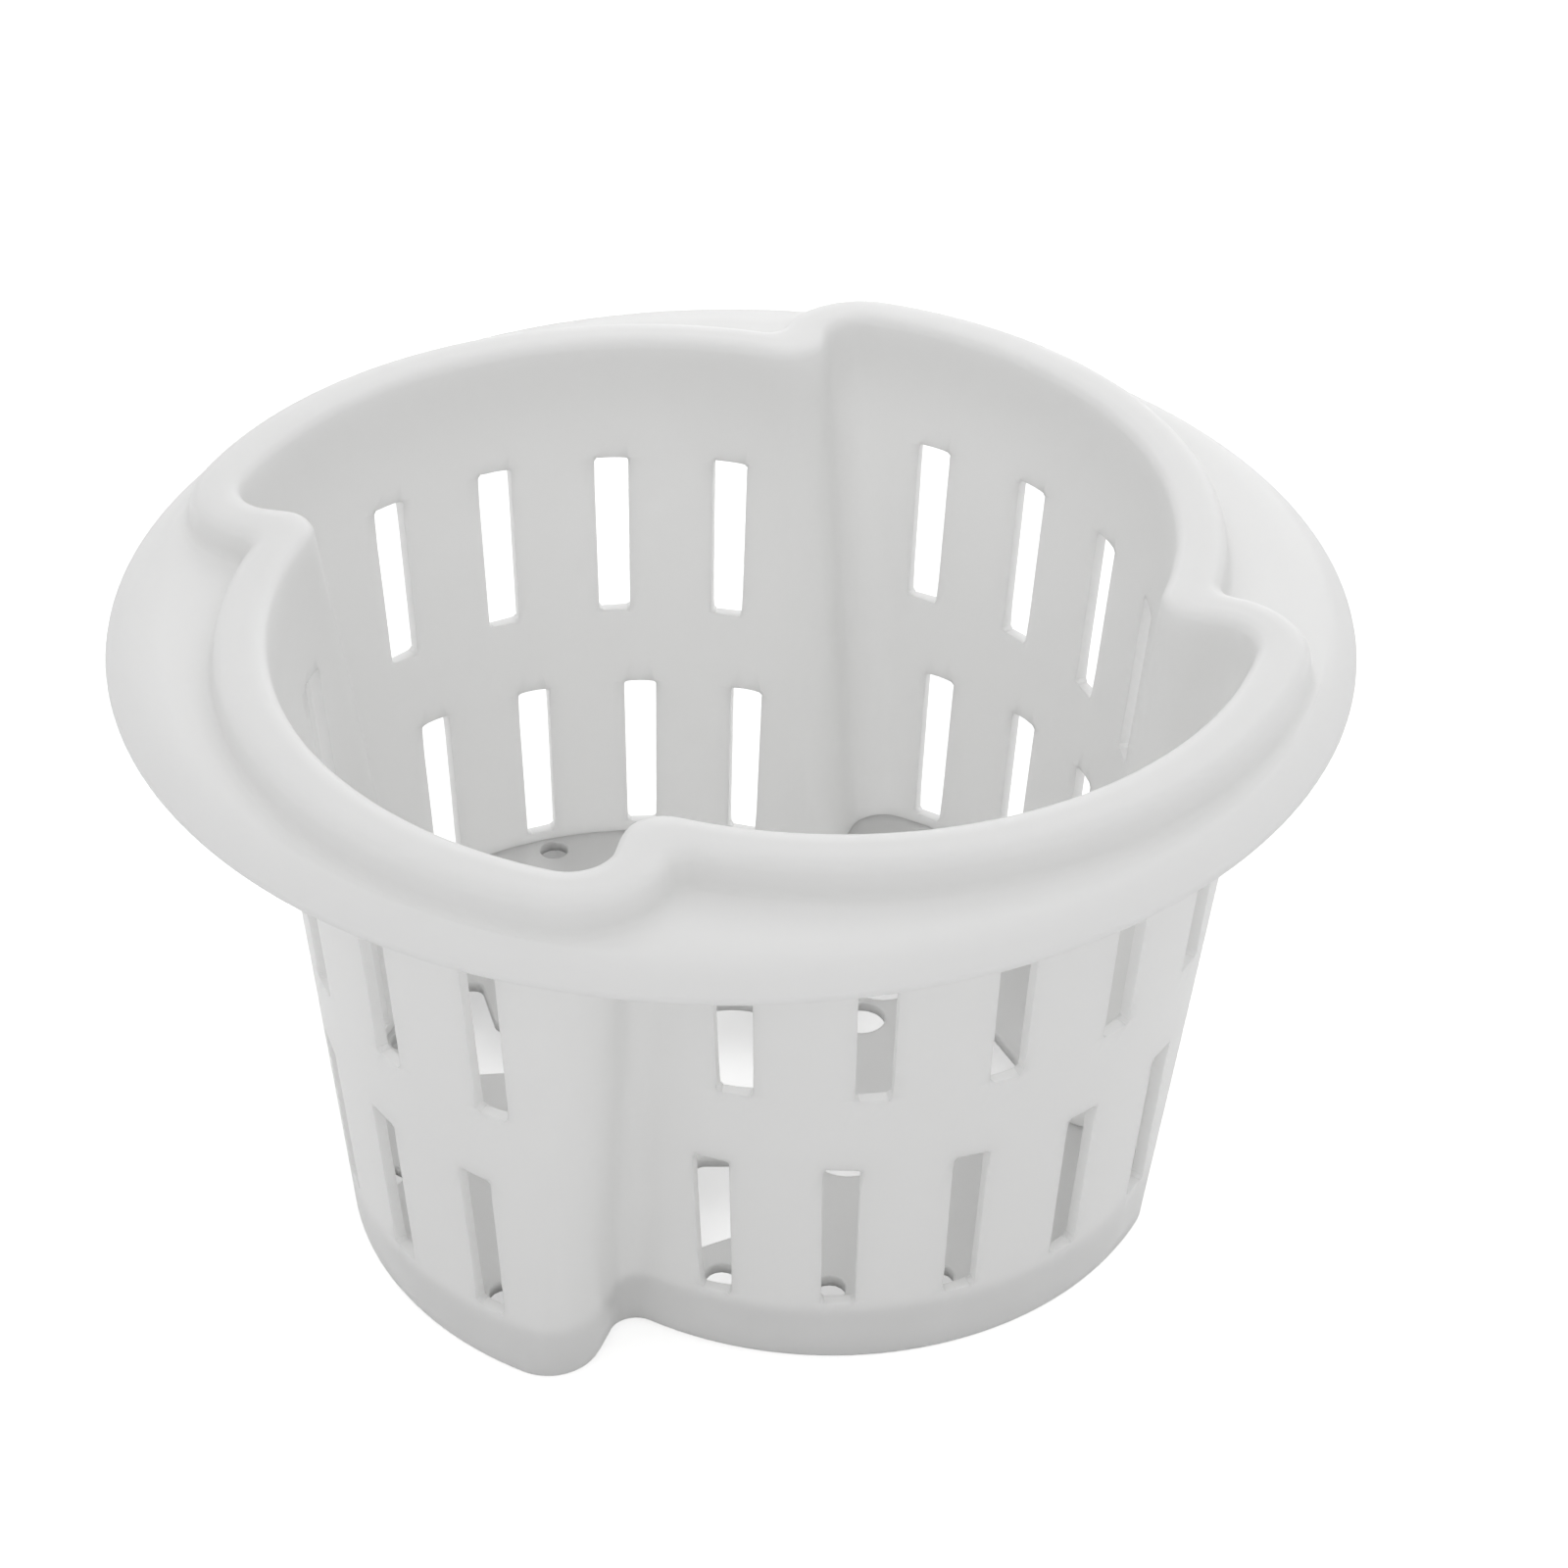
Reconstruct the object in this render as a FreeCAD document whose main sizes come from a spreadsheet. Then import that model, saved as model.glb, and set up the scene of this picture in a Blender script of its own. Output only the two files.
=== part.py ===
"""Hydroponic net pot: a one-piece moulded plastic basket with a pinwheel wall.

Four spiral lobes make the wall. Each lobe swings outwards from its root to its
tip, where an S-shaped fold steps back in to the root of the next lobe. The wall
drafts and swirls a little from the foot to the mouth, carries two rows of slots,
and ends in a raised collar on a round flange that hangs in the lid of a reservoir.

Frame: millimetres, +Z up, origin on the axis at the foot.
"""

import FreeCAD, Part

import math
import os

import Sketcher

LOBES = 4
QUARTER = 360 / LOBES
SLOTS_PER_LOBE = 5
TOLERANCE = 1e-4

# Driving dimensions. Every length is in millimetres and every angle in degrees.
SIZES = {
    # Overall
    "height": 75.2,
    "wall": 1.4,
    # Spiral lobes at the foot and at the mouth, on the inner face of the wall
    "lobe_radius_foot": 38.3,
    "lobe_radius_mouth": 46.2,
    "lobe_shift_foot": 11.8,
    "lobe_shift_mouth": 10.7,
    "lobe_turn_foot": 74.8,
    "lobe_turn_mouth": 82.7,
    "lobe_lead": 85,
    "fold_lag": 5,
    "tip_round": 4.5,
    "root_round": 4.2,
    # Flange with its sloping edge band
    "flange_radius": 67,
    "flange_drop": 3.7,
    "plate": 1.4,
    "band_width": 3.3,
    "band_fall": 2.3,
    "edge_thickness": 0.8,
    # Raised collar round the mouth, hollow from below
    "collar_foot": 6.6,
    "collar_crest": 5.4,
    "collar_root_round": 2.5,
    "crest_round": 1.2,
    "mouth_round": 0.9,
    "foot_round": 0.7,
    # Slots
    "lower_slot_bottom": 8.8,
    "lower_slot_top": 29.4,
    "lower_slot_width": 3.8,
    "lower_slot_first": -4.8,
    "lower_slot_pitch": 18.77,
    "upper_slot_bottom": 39.5,
    "upper_slot_top": 60.2,
    "upper_slot_width": 4.0,
    "upper_slot_first": -3.6,
    "upper_slot_pitch": 18.62,
    "slot_taper": 0.35,
    "slot_corner": 0.5,
    # Raised floor and its drain holes
    "floor_top": 7.5,
    "floor_thickness": 1.5,
    "centre_hole_radius": 8.5,
    "inner_hole_radius": 2.9,
    "inner_hole_reach": 16.4,
    "inner_hole_turn": 19.7,
    "middle_hole_radius": 4.4,
    "middle_hole_reach": 22.5,
    "middle_hole_turn": 36,
    "window_inner": 19.5,
    "window_outer": 34.6,
    "window_half_width": 4.2,
    "window_tail": 12,
    "window_tail_width": 4.4,
    "window_corner": 1.2,
    "drain_hole_radius": 1.8,
    "drain_hole_inset": 2.4,
}

PLATE_TOP = "(Sizes.height - Sizes.flange_drop)"
PLATE_BOTTOM = f"({PLATE_TOP} - Sizes.plate)"
FLOOR_BOTTOM = "(Sizes.floor_top - Sizes.floor_thickness)"

doc = FreeCAD.newDocument("NetPot")


def add_sheet():
    """Put the driving dimensions in a spreadsheet, one alias per row."""
    sheet = doc.addObject("Spreadsheet::Sheet", "Sizes")
    for row, (alias, value) in enumerate(SIZES.items(), start=1):
        sheet.set(f"A{row}", alias)
        sheet.set(f"B{row}", str(value))
        sheet.setAlias(f"B{row}", alias)
    doc.recompute()


def at_height(size, level):
    """Expression for a lobe size at a level between the foot and the mouth."""
    foot = f"Sizes.{size}_foot"
    mouth = f"Sizes.{size}_mouth"
    return f"({foot} + ({mouth} - {foot}) * {level} / Sizes.height)"


def lobe_centre(level, turn=0):
    """Expressions for the centre of a lobe's arc, as x and y."""
    shift = at_height("lobe_shift", level)
    angle = f"({at_height('lobe_turn', level)} + Sizes.lobe_lead + {turn})"
    return f"{shift} * cos({angle})", f"{shift} * sin({angle})"


def number(expression):
    """Value of an expression, as a plain number."""
    value = body.evalExpression(str(expression))
    return float(getattr(value, "Value", value))


def point(expressions):
    """Vector in a sketch's plane from a pair of expressions."""
    return FreeCAD.Vector(number(expressions[0]), number(expressions[1]), 0)


def origin_feature(role):
    """Plane or axis of the body's own origin."""
    return next(f for f in body.Origin.OriginFeatures if f.Role == role)


def add_sketch(name, role="XY_Plane", level=None):
    """Sketch on a plane of the body's origin, lifted to a level."""
    sketch = body.newObject("Sketcher::SketchObject", name)
    sketch.AttachmentSupport = [(origin_feature(role), "")]
    sketch.MapMode = "FlatFace"
    if level is not None:
        sketch.setExpression("AttachmentOffset.Base.z", str(level))
    return sketch


def bind(sketch, kind, *arguments, size):
    """Add a dimension to a sketch and tie it to an expression."""
    index = sketch.addConstraint(Sketcher.Constraint(kind, *arguments, number(size)))
    sketch.setExpression(f"Constraints[{index}]", str(size))


def join(sketch, first, first_end, second, second_end):
    """Make two pieces of an outline meet end to end in one smooth line."""
    sketch.addConstraint(Sketcher.Constraint("Tangent", first, first_end, second, second_end))


def place(sketch, geometry, end, expressions):
    """Fix a point of a sketch at x and y expressions."""
    bind(sketch, "DistanceX", -1, 1, geometry, end, size=expressions[0])
    bind(sketch, "DistanceY", -1, 1, geometry, end, size=expressions[1])


def arc(centre, start, finish):
    """Anticlockwise arc about a centre from one point to another."""
    radius = (start - centre).Length
    first = math.atan2(start.y - centre.y, start.x - centre.x)
    last = math.atan2(finish.y - centre.y, finish.x - centre.x)
    if last <= first:
        last += 2 * math.pi
    circle = Part.Circle(centre, FreeCAD.Vector(0, 0, 1), radius)
    return Part.ArcOfCircle(circle, first, last)


def add_lobed_outline(name, level, skin, folded=True):
    """Closed outline of the four lobes, a skin outside the inner face of the wall.

    Each lobe is a main arc, a tip arc, a straight fold face along a ray of the pot
    and a root arc that runs into the next lobe. A thick skin, such as the collar's,
    has no room for the straight face, so there the tip runs into the root.
    """
    sketch = add_sketch(name, level=level)
    radius = number(f"{at_height('lobe_radius', level)} + {skin}")
    tip = number(f"Sizes.tip_round + {skin}")
    root_size = f"Sizes.root_round - {skin}" if folded else "Sizes.collar_root_round"
    root = number(root_size)
    turn = f"({at_height('lobe_turn', level)} - Sizes.fold_lag)"
    offset = number(skin)
    corner_round = number("Sizes.tip_round")
    lobes = []
    for lobe in range(LOBES):
        centre = point(lobe_centre(level, QUARTER * lobe))
        following = point(lobe_centre(level, QUARTER * (lobe + 1)))
        ray_angle = math.radians(number(turn) + QUARTER * (lobe + 1))
        out = FreeCAD.Vector(math.cos(ray_angle), math.sin(ray_angle), 0)
        across = FreeCAD.Vector(-out.y, out.x, 0)
        # The tip's centre stands the inner corner's radius before the ray
        reach = radius - tip
        lateral = -corner_round - centre.dot(across)
        along = centre.dot(out) + math.sqrt(reach**2 - lateral**2)
        tip_centre = out * along - across * corner_round
        tip_start = centre + (tip_centre - centre).normalize() * radius
        if folded:
            side = root + offset
            lateral = side - following.dot(across)
            along = following.dot(out) + math.sqrt((radius + root) ** 2 - lateral**2)
            root_centre = out * along + across * side
            tip_end = tip_centre + across * tip
            root_start = root_centre - across * root
        else:
            # Root arc between two circles: one about the tip, one about the next lobe
            span = following - tip_centre
            near = tip + root
            far = radius + root
            foot = (span.Length**2 + near**2 - far**2) / (2 * span.Length)
            rise = math.sqrt(near**2 - foot**2)
            unit = FreeCAD.Vector(span).normalize()
            normal = FreeCAD.Vector(unit.y, -unit.x, 0)
            root_centre = tip_centre + unit * foot + normal * rise
            tip_end = tip_centre + (root_centre - tip_centre).normalize() * tip
            root_start = tip_end
        root_end = following + (root_centre - following).normalize() * radius
        lobes.append((centre, tip_centre, tip_start, tip_end, root_centre, root_start, root_end))
    pieces = []
    for lobe, (centre, tip_centre, tip_start, tip_end, root_centre, root_start, root_end) in enumerate(lobes):
        begin = lobes[lobe - 1][-1]
        main_arc = sketch.addGeometry(arc(centre, begin, tip_start))
        tip_arc = sketch.addGeometry(arc(tip_centre, tip_start, tip_end))
        face = None
        if folded:
            face = sketch.addGeometry(Part.LineSegment(tip_end, root_start))
        root_arc = sketch.addGeometry(arc(root_centre, root_end, root_start))
        ray_end = FreeCAD.Vector(tip_centre).normalize() * number("Sizes.flange_radius")
        ray = sketch.addGeometry(Part.LineSegment(FreeCAD.Vector(), ray_end), True)
        pieces.append((main_arc, tip_arc, face, root_arc, ray))
    for lobe, (main_arc, tip_arc, face, root_arc, ray) in enumerate(pieces):
        next_arc = pieces[(lobe + 1) % LOBES][0]
        join(sketch, main_arc, 2, tip_arc, 1)
        if folded:
            join(sketch, tip_arc, 2, face, 1)
            join(sketch, face, 2, root_arc, 2)
            sketch.addConstraint(Sketcher.Constraint("Parallel", face, ray))
        else:
            join(sketch, tip_arc, 2, root_arc, 2)
        join(sketch, root_arc, 1, next_arc, 1)
        place(sketch, main_arc, 3, lobe_centre(level, QUARTER * lobe))
        bind(sketch, "Radius", main_arc, size=f"{at_height('lobe_radius', level)} + {skin}")
        bind(sketch, "Radius", tip_arc, size=f"Sizes.tip_round + {skin}")
        bind(sketch, "Radius", root_arc, size=root_size)
        sketch.addConstraint(Sketcher.Constraint("Coincident", ray, 1, -1, 1))
        ray_turn = f"({turn} + {QUARTER * (lobe + 1)})"
        ray_tip = [f"Sizes.flange_radius * {axis}({ray_turn})" for axis in ("cos", "sin")]
        place(sketch, ray, 2, ray_tip)
        bind(sketch, "Distance", tip_arc, 3, ray, size="Sizes.tip_round")
    return sketch


def add_polygon(sketch, corners, rounding=None):
    """Closed polygon through corner expressions, each corner rounded if asked."""
    count = len(corners)
    spots = [point(corner) for corner in corners]
    radius = number(rounding) if rounding else 0
    ends = []
    for index, spot in enumerate(spots):
        back = (spots[index - 1] - spot).normalize()
        ahead = (spots[(index + 1) % count] - spot).normalize()
        half = math.acos(max(-1, min(1, back.dot(ahead)))) / 2
        trim = radius / math.tan(half)
        middle = (back + ahead).normalize()
        ends.append((spot + back * trim, spot + ahead * trim, spot + middle * radius / math.sin(half)))
    lines = []
    for index in range(count):
        start = ends[index][1]
        finish = ends[(index + 1) % count][0]
        lines.append(sketch.addGeometry(Part.LineSegment(start, finish)))
    for index, corner in enumerate(corners):
        before = lines[index - 1]
        after = lines[index]
        if not rounding:
            sketch.addConstraint(Sketcher.Constraint("Coincident", before, 2, after, 1))
            place(sketch, after, 1, corner)
            continue
        first, last, centre = ends[index]
        turn = (first - centre).cross(last - centre).z
        if turn > 0:
            bend = sketch.addGeometry(arc(centre, first, last))
            join(sketch, before, 2, bend, 1)
            join(sketch, bend, 2, after, 1)
        else:
            bend = sketch.addGeometry(arc(centre, last, first))
            join(sketch, before, 2, bend, 2)
            join(sketch, bend, 1, after, 1)
        bind(sketch, "Radius", bend, size=rounding)
        spot = sketch.addGeometry(Part.Point(spots[index]), True)
        place(sketch, spot, 1, corner)
        sketch.addConstraint(Sketcher.Constraint("PointOnObject", spot, 1, before))
        sketch.addConstraint(Sketcher.Constraint("PointOnObject", spot, 1, after))


def add_circle(sketch, centre, radius):
    """Circle with its centre and radius tied to expressions."""
    circle = Part.Circle(point(centre), FreeCAD.Vector(0, 0, 1), number(radius))
    geometry = sketch.addGeometry(circle)
    place(sketch, geometry, 3, centre)
    bind(sketch, "Radius", geometry, size=radius)


def add_loft(kind, name, lower, upper):
    """Straight-sided loft between two lobed outlines."""
    loft = body.newObject(f"PartDesign::{kind}", name)
    loft.Profile = lower
    loft.Sections = [upper]
    loft.Ruled = True
    doc.recompute()
    return loft


def cut_checked(feature):
    """Recompute a cut and make sure that it took material away."""
    before = feature.BaseFeature.Shape.Volume
    doc.recompute()
    if feature.Shape.Volume > before - TOLERANCE:
        raise RuntimeError(f"{feature.Name} cuts nothing")
    return feature


def add_flange():
    """Round flange plate whose edge band slopes down."""
    sketch = add_sketch("FlangeSection", "XZ_Plane")
    band = "Sizes.flange_radius - Sizes.band_width"
    edge_top = f"{PLATE_TOP} - Sizes.band_fall"
    edge_bottom = f"{edge_top} - Sizes.edge_thickness"
    corners = [
        ("0", PLATE_BOTTOM),
        (band, PLATE_BOTTOM),
        ("Sizes.flange_radius", edge_bottom),
        ("Sizes.flange_radius", edge_top),
        (band, PLATE_TOP),
        ("0", PLATE_TOP),
    ]
    add_polygon(sketch, corners)
    flange = body.newObject("PartDesign::Revolution", "Flange")
    flange.Profile = sketch
    flange.ReferenceAxis = (origin_feature("Z_Axis"), [""])
    flange.Angle = 360
    doc.recompute()


def add_collar():
    """Collar round the mouth: a lobed block, then its hollow from below."""
    foot = add_lobed_outline("CollarFoot", PLATE_BOTTOM, "Sizes.collar_foot", folded=False)
    crest = add_lobed_outline("CollarCrest", "Sizes.height", "Sizes.collar_crest", folded=False)
    add_loft("AdditiveLoft", "Collar", foot, crest)
    ceiling = "(Sizes.height - Sizes.plate)"
    below = add_lobed_outline("HollowFoot", PLATE_BOTTOM, "(Sizes.collar_foot - Sizes.plate)", folded=False)
    above = add_lobed_outline("HollowCeiling", ceiling, "(Sizes.collar_crest - Sizes.plate)", folded=False)
    add_loft("SubtractiveLoft", "CollarHollow", below, above)


def add_wall():
    """Wall of the pot, open at the mouth and under the raised floor."""
    outer_foot = add_lobed_outline("WallFoot", "0", "Sizes.wall")
    outer_mouth = add_lobed_outline("WallMouth", "Sizes.height", "Sizes.wall")
    add_loft("AdditiveLoft", "Wall", outer_foot, outer_mouth)
    inner_foot = add_lobed_outline("CavityFoot", "0", "0")
    inner_mouth = add_lobed_outline("CavityMouth", "Sizes.height", "0")
    add_loft("SubtractiveLoft", "Cavity", inner_foot, inner_mouth)


def add_floor():
    """Raised floor, seated halfway into the wall all round."""
    outline = add_lobed_outline("FloorOutline", FLOOR_BOTTOM, "(Sizes.wall / 2)")
    floor = body.newObject("PartDesign::Pad", "Floor")
    floor.Profile = outline
    floor.setExpression("Length", "Sizes.floor_thickness")
    doc.recompute()


def round_edges(name, size, level, which):
    """Fillet one loop of edges of the level face at a height."""
    height = number(level)
    base = body.Tip
    shape = base.Shape
    up = 1 if height > TOLERANCE else -1
    level_faces = [face for face in shape.Faces if isinstance(face.Surface, Part.Plane)]
    for face in level_faces:
        faces_out = face.normalAt(0, 0).z * up > 1 - TOLERANCE
        if faces_out and abs(face.CenterOfMass.z - height) < TOLERANCE:
            outer = face.OuterWire
            inner = [wire for wire in face.Wires if not wire.isSame(outer)]
            wire = outer if which == "outer" else inner[0]
            break
    names = []
    for index, edge in enumerate(shape.Edges, start=1):
        if any(edge.isSame(other) for other in wire.Edges):
            names.append(f"Edge{index}")
    fillet = body.newObject("PartDesign::Fillet", name)
    fillet.Base = (base, names)
    fillet.setExpression("Radius", size)
    doc.recompute()


def add_slots(row):
    """One row of slots through a lobe's wall, cut square to the wall's arc."""
    bottom = f"Sizes.{row}_slot_bottom"
    top = f"Sizes.{row}_slot_top"
    middle = f"(({bottom} + {top}) / 2)"
    half = f"(Sizes.{row}_slot_width / 2)"
    taper = "(Sizes.slot_taper / 4)"
    centre_x, centre_y = lobe_centre(middle)
    cuts = []
    for slot in range(SLOTS_PER_LOBE):
        sketch = add_sketch(f"{row.title()}Slot{slot + 1}", "XZ_Plane")
        turned = FreeCAD.Rotation(FreeCAD.Vector(0, 1, 0), 90)
        sketch.AttachmentOffset = FreeCAD.Placement(FreeCAD.Vector(), turned)
        heading = f"Sizes.{row}_slot_first + {slot} * Sizes.{row}_slot_pitch + 90"
        sketch.setExpression("AttachmentOffset.Base.x", centre_x)
        sketch.setExpression("AttachmentOffset.Base.z", f"-({centre_y})")
        sketch.setExpression(
            "AttachmentOffset.Rotation.Angle", f"{at_height('lobe_turn', middle)} + {heading}"
        )
        corners = [
            (f"-{half} + {taper}", bottom),
            (f"{half} - {taper}", bottom),
            (f"{half} + {taper}", top),
            (f"-{half} - {taper}", top),
        ]
        add_polygon(sketch, corners, "Sizes.slot_corner")
        cut = body.newObject("PartDesign::Pocket", f"{row.title()}Cut{slot + 1}")
        cut.Profile = sketch
        cut.Reversed = True
        cut.setExpression("Length", f"{at_height('lobe_radius', middle)} + 3 * Sizes.wall")
        cuts.append(cut_checked(cut))
    return cuts


def polar(reach, turn):
    """Expressions for a point of the floor from its reach and turn."""
    return f"{reach} * cos({turn})", f"{reach} * sin({turn})"


def add_floor_holes():
    """Drain holes and window of one quarter of the floor, and the centre hole."""
    centre = add_sketch("CentreHole", level="Sizes.floor_top")
    add_circle(centre, ("0", "0"), "Sizes.centre_hole_radius")
    centre_cut = body.newObject("PartDesign::Pocket", "CentreCut")
    centre_cut.Profile = centre
    centre_cut.setExpression("Length", "Sizes.floor_thickness")
    cut_checked(centre_cut)
    holes = add_sketch("FloorHoles", level="Sizes.floor_top")
    for size in ("inner", "middle"):
        spot = polar(f"Sizes.{size}_hole_reach", f"Sizes.{size}_hole_turn")
        add_circle(holes, spot, f"Sizes.{size}_hole_radius")
    shift_x, shift_y = lobe_centre("Sizes.floor_top", -QUARTER)
    ring = f"({at_height('lobe_radius', 'Sizes.floor_top')} - Sizes.drain_hole_inset)"
    start = f"({at_height('lobe_turn', 'Sizes.floor_top')} - {QUARTER} + Sizes.lower_slot_first"
    for slot in range(SLOTS_PER_LOBE):
        turn = f"{start} + {slot} * Sizes.lower_slot_pitch)"
        spot = (f"{shift_x} + {ring} * cos({turn})", f"{shift_y} + {ring} * sin({turn})")
        add_circle(holes, spot, "Sizes.drain_hole_radius")
    half = "Sizes.window_half_width"
    far = "Sizes.window_outer"
    tail = "Sizes.window_tail"
    corners = [
        ("Sizes.window_inner", f"-{half}"),
        (f"{far} - 1.5 * Sizes.window_tail_width", f"-{half}"),
        (f"{far} - Sizes.window_tail_width", f"-{tail}"),
        (f"{far} - Sizes.window_tail_width / 4", f"-{tail}"),
        (far, f"-{half}"),
        (f"{far} - Sizes.window_tail_width", f"{half} * 1.2"),
        ("Sizes.window_inner", f"{half}"),
    ]
    add_polygon(holes, corners, "Sizes.window_corner")
    cut = body.newObject("PartDesign::Pocket", "FloorCut")
    cut.Profile = holes
    cut.setExpression("Length", "Sizes.floor_thickness")
    return [cut_checked(cut)]


def repeat_round(name, cuts):
    """Repeat the cuts of one lobe round the pot's axis."""
    pattern = body.newObject("PartDesign::PolarPattern", name)
    pattern.Originals = cuts
    pattern.Axis = (origin_feature("Z_Axis"), [""])
    pattern.Angle = 360
    pattern.Occurrences = LOBES
    body.Tip = pattern
    doc.recompute()


def check_document():
    """Stop if any object of the document failed or the pot isn't one valid solid."""
    for item in doc.Objects:
        if "Invalid" in item.State or "Error" in item.State:
            raise RuntimeError(f"{item.Name} failed: {item.State}")
    if body.Shape.isNull() or not body.Shape.isValid() or len(body.Shape.Solids) != 1:
        raise RuntimeError("the pot isn't one valid solid")


add_sheet()
body = doc.addObject("PartDesign::Body", "NetPot")
body.Label = "net_pot"
doc.recompute()
add_flange()
add_collar()
add_wall()
add_floor()
round_edges("CrestRound", "Sizes.crest_round", "Sizes.height", "outer")
round_edges("MouthRound", "Sizes.mouth_round", "Sizes.height", "inner")
round_edges("FootRound", "Sizes.foot_round", "0", "outer")
slot_cuts = add_slots("lower") + add_slots("upper")
repeat_round("Slots", slot_cuts)
repeat_round("FloorPattern", add_floor_holes())
check_document()

os.makedirs("parts", exist_ok=True)
body.Shape.exportStep(os.path.join("parts", f"{body.Label}.step"))
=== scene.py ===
"""Hydroponic net pot, dressed: the pinwheel basket in softly frosted natural plastic.

A quarter of the moulding is laid out ring by ring from the same driving sizes as the
solid, and Geometry Nodes turn it round the axis. The raised floor is a pierced plate
that is seated in the wall.
"""

import math

import bmesh
import bpy
from mathutils import Matrix, Vector


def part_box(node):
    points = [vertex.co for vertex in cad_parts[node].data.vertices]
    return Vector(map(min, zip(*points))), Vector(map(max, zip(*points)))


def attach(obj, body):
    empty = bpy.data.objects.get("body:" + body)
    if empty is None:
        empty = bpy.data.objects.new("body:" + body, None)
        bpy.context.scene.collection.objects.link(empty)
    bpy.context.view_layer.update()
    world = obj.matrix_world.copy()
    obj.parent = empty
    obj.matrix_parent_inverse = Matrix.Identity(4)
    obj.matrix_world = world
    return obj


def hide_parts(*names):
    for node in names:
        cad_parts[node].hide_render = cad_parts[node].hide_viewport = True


bl_info = {
    "name": "Net pot",
    "version": (1, 0, 0),
    "blender": (4, 5, 0),
    "location": "3D View > Sidebar > Net pot",
    "description": "Builds a pinwheel net pot of frosted plastic and its stage",
    "category": "Object",
}

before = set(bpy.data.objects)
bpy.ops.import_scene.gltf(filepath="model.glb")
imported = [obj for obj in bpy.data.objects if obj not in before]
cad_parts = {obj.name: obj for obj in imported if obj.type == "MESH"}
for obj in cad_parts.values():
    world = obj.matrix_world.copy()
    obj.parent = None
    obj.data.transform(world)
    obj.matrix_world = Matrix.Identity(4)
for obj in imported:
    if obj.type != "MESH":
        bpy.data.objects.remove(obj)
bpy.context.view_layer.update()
NODE = "net_pot"
BODY = "root"
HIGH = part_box(NODE)[1]

MM = 0.001
LOBES = 4
QUARTER = 2 * math.pi / LOBES
SLOTS_PER_LOBE = 5

# Rings in each stretch of the wall: plain, beside a row of slots, and up to the mouth
PLAIN_STEPS = 3
SLOT_STEPS = 5
NECK_STEPS = 5

# Shares of a quarter turn at which the rounded edges have their rings
MOUTH_SHARES = (0, 0.5, 1)
CREST_SHARES = (0, 0.25, 0.5, 0.75, 1)
COVE_SHARES = (0, 0.33, 0.67, 1)
FOOT_SHARES = (1, 0.5, 0)

# Shares of the way at which the collar's top and the flange have their rings
COLLAR_TOP_SHARES = (0.35, 0.7)
FLANGE_SHARES = (0.3, 0.65, 1)

# Rings of the flange's edge: how far in and how far up, in radii of the edge's rounding
EDGE_TOP_RINGS = ((1, 0.6), (0.3, 0.1), (0, -1))
EDGE_BOTTOM_RINGS = ((0, 1), (1, 0.4))

# Columns of the mesh along a lobe: the root land, five slots with lands between, the tip land
MAIN_STEPS = [4] + [2, 6] * (SLOTS_PER_LOBE - 1) + [2, 4]
TIP_STEPS = 12
FACE_STEPS = 3
ROOT_STEPS = 9

# Faces through the wall carry this index until the edges round them are marked
SLOT_SIDE = 1
CORNER_SEGMENTS = 3
SEAM_WIDTH = 0.01 * MM

# A window's outline: two reaches in widths of its tail, and its slant in half widths
WINDOW_NECK = 1.5
WINDOW_HEEL = 0.25
WINDOW_SLANT = 1.2
WINDOW_CORNER_STEPS = 4

# Points round each kind of hole
HOLE_POINTS = 28
DRAIN_POINTS = 16
CENTRE_POINTS = 48

# Clouds and frost of the plastic
CLOUD_SCALE = 45
CLOUD_DETAIL = 3
CLOUD_LOW = 0.3
CLOUD_HIGH = 0.7
CLOUD_SHADE = 0.985
FROST_SCALE = 900
FROST_DETAIL = 2
FROST_STRENGTH = 0.06
FROST_DEPTH = 0.1 * MM
REFRACTION = 1.45
SCATTER_DEPTH = 4 * MM

# Stage: the floor's half width, its glow where the camera sees it, and the two lamps'
# places and widths in metres
FLOOR_HALF = 3
FLOOR_LIFT = 0.5
FLOOR_ROUGHNESS = 0.9
OVERHEAD_PLACE = (0.1, 0.0, 0.9)
OVERHEAD_WIDTH = 0.9
BEHIND_PLACE = (0.15, 0.8, 0.35)
BEHIND_WIDTH = 0.8
SENSOR_WIDTH = 36
NEAR_CLIP = 0.01


def length(name, description, millimetres):
    """Length property whose default is given in millimetres."""
    return bpy.props.FloatProperty(
        name=name, description=description, default=millimetres * MM, unit="LENGTH", precision=5
    )


def angle(name, description, degrees):
    """Angle property whose default is given in degrees."""
    return bpy.props.FloatProperty(
        name=name, description=description, default=math.radians(degrees), subtype="ANGLE"
    )


def amount(name, description, value, low=0.0, high=1.0):
    """Plain number property."""
    return bpy.props.FloatProperty(
        name=name, description=description, default=value, min=low, max=high
    )


def tint(name, description, value):
    """Colour property."""
    return bpy.props.FloatVectorProperty(
        name=name, description=description, default=value, subtype="COLOR", size=3, min=0, max=1
    )


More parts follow.
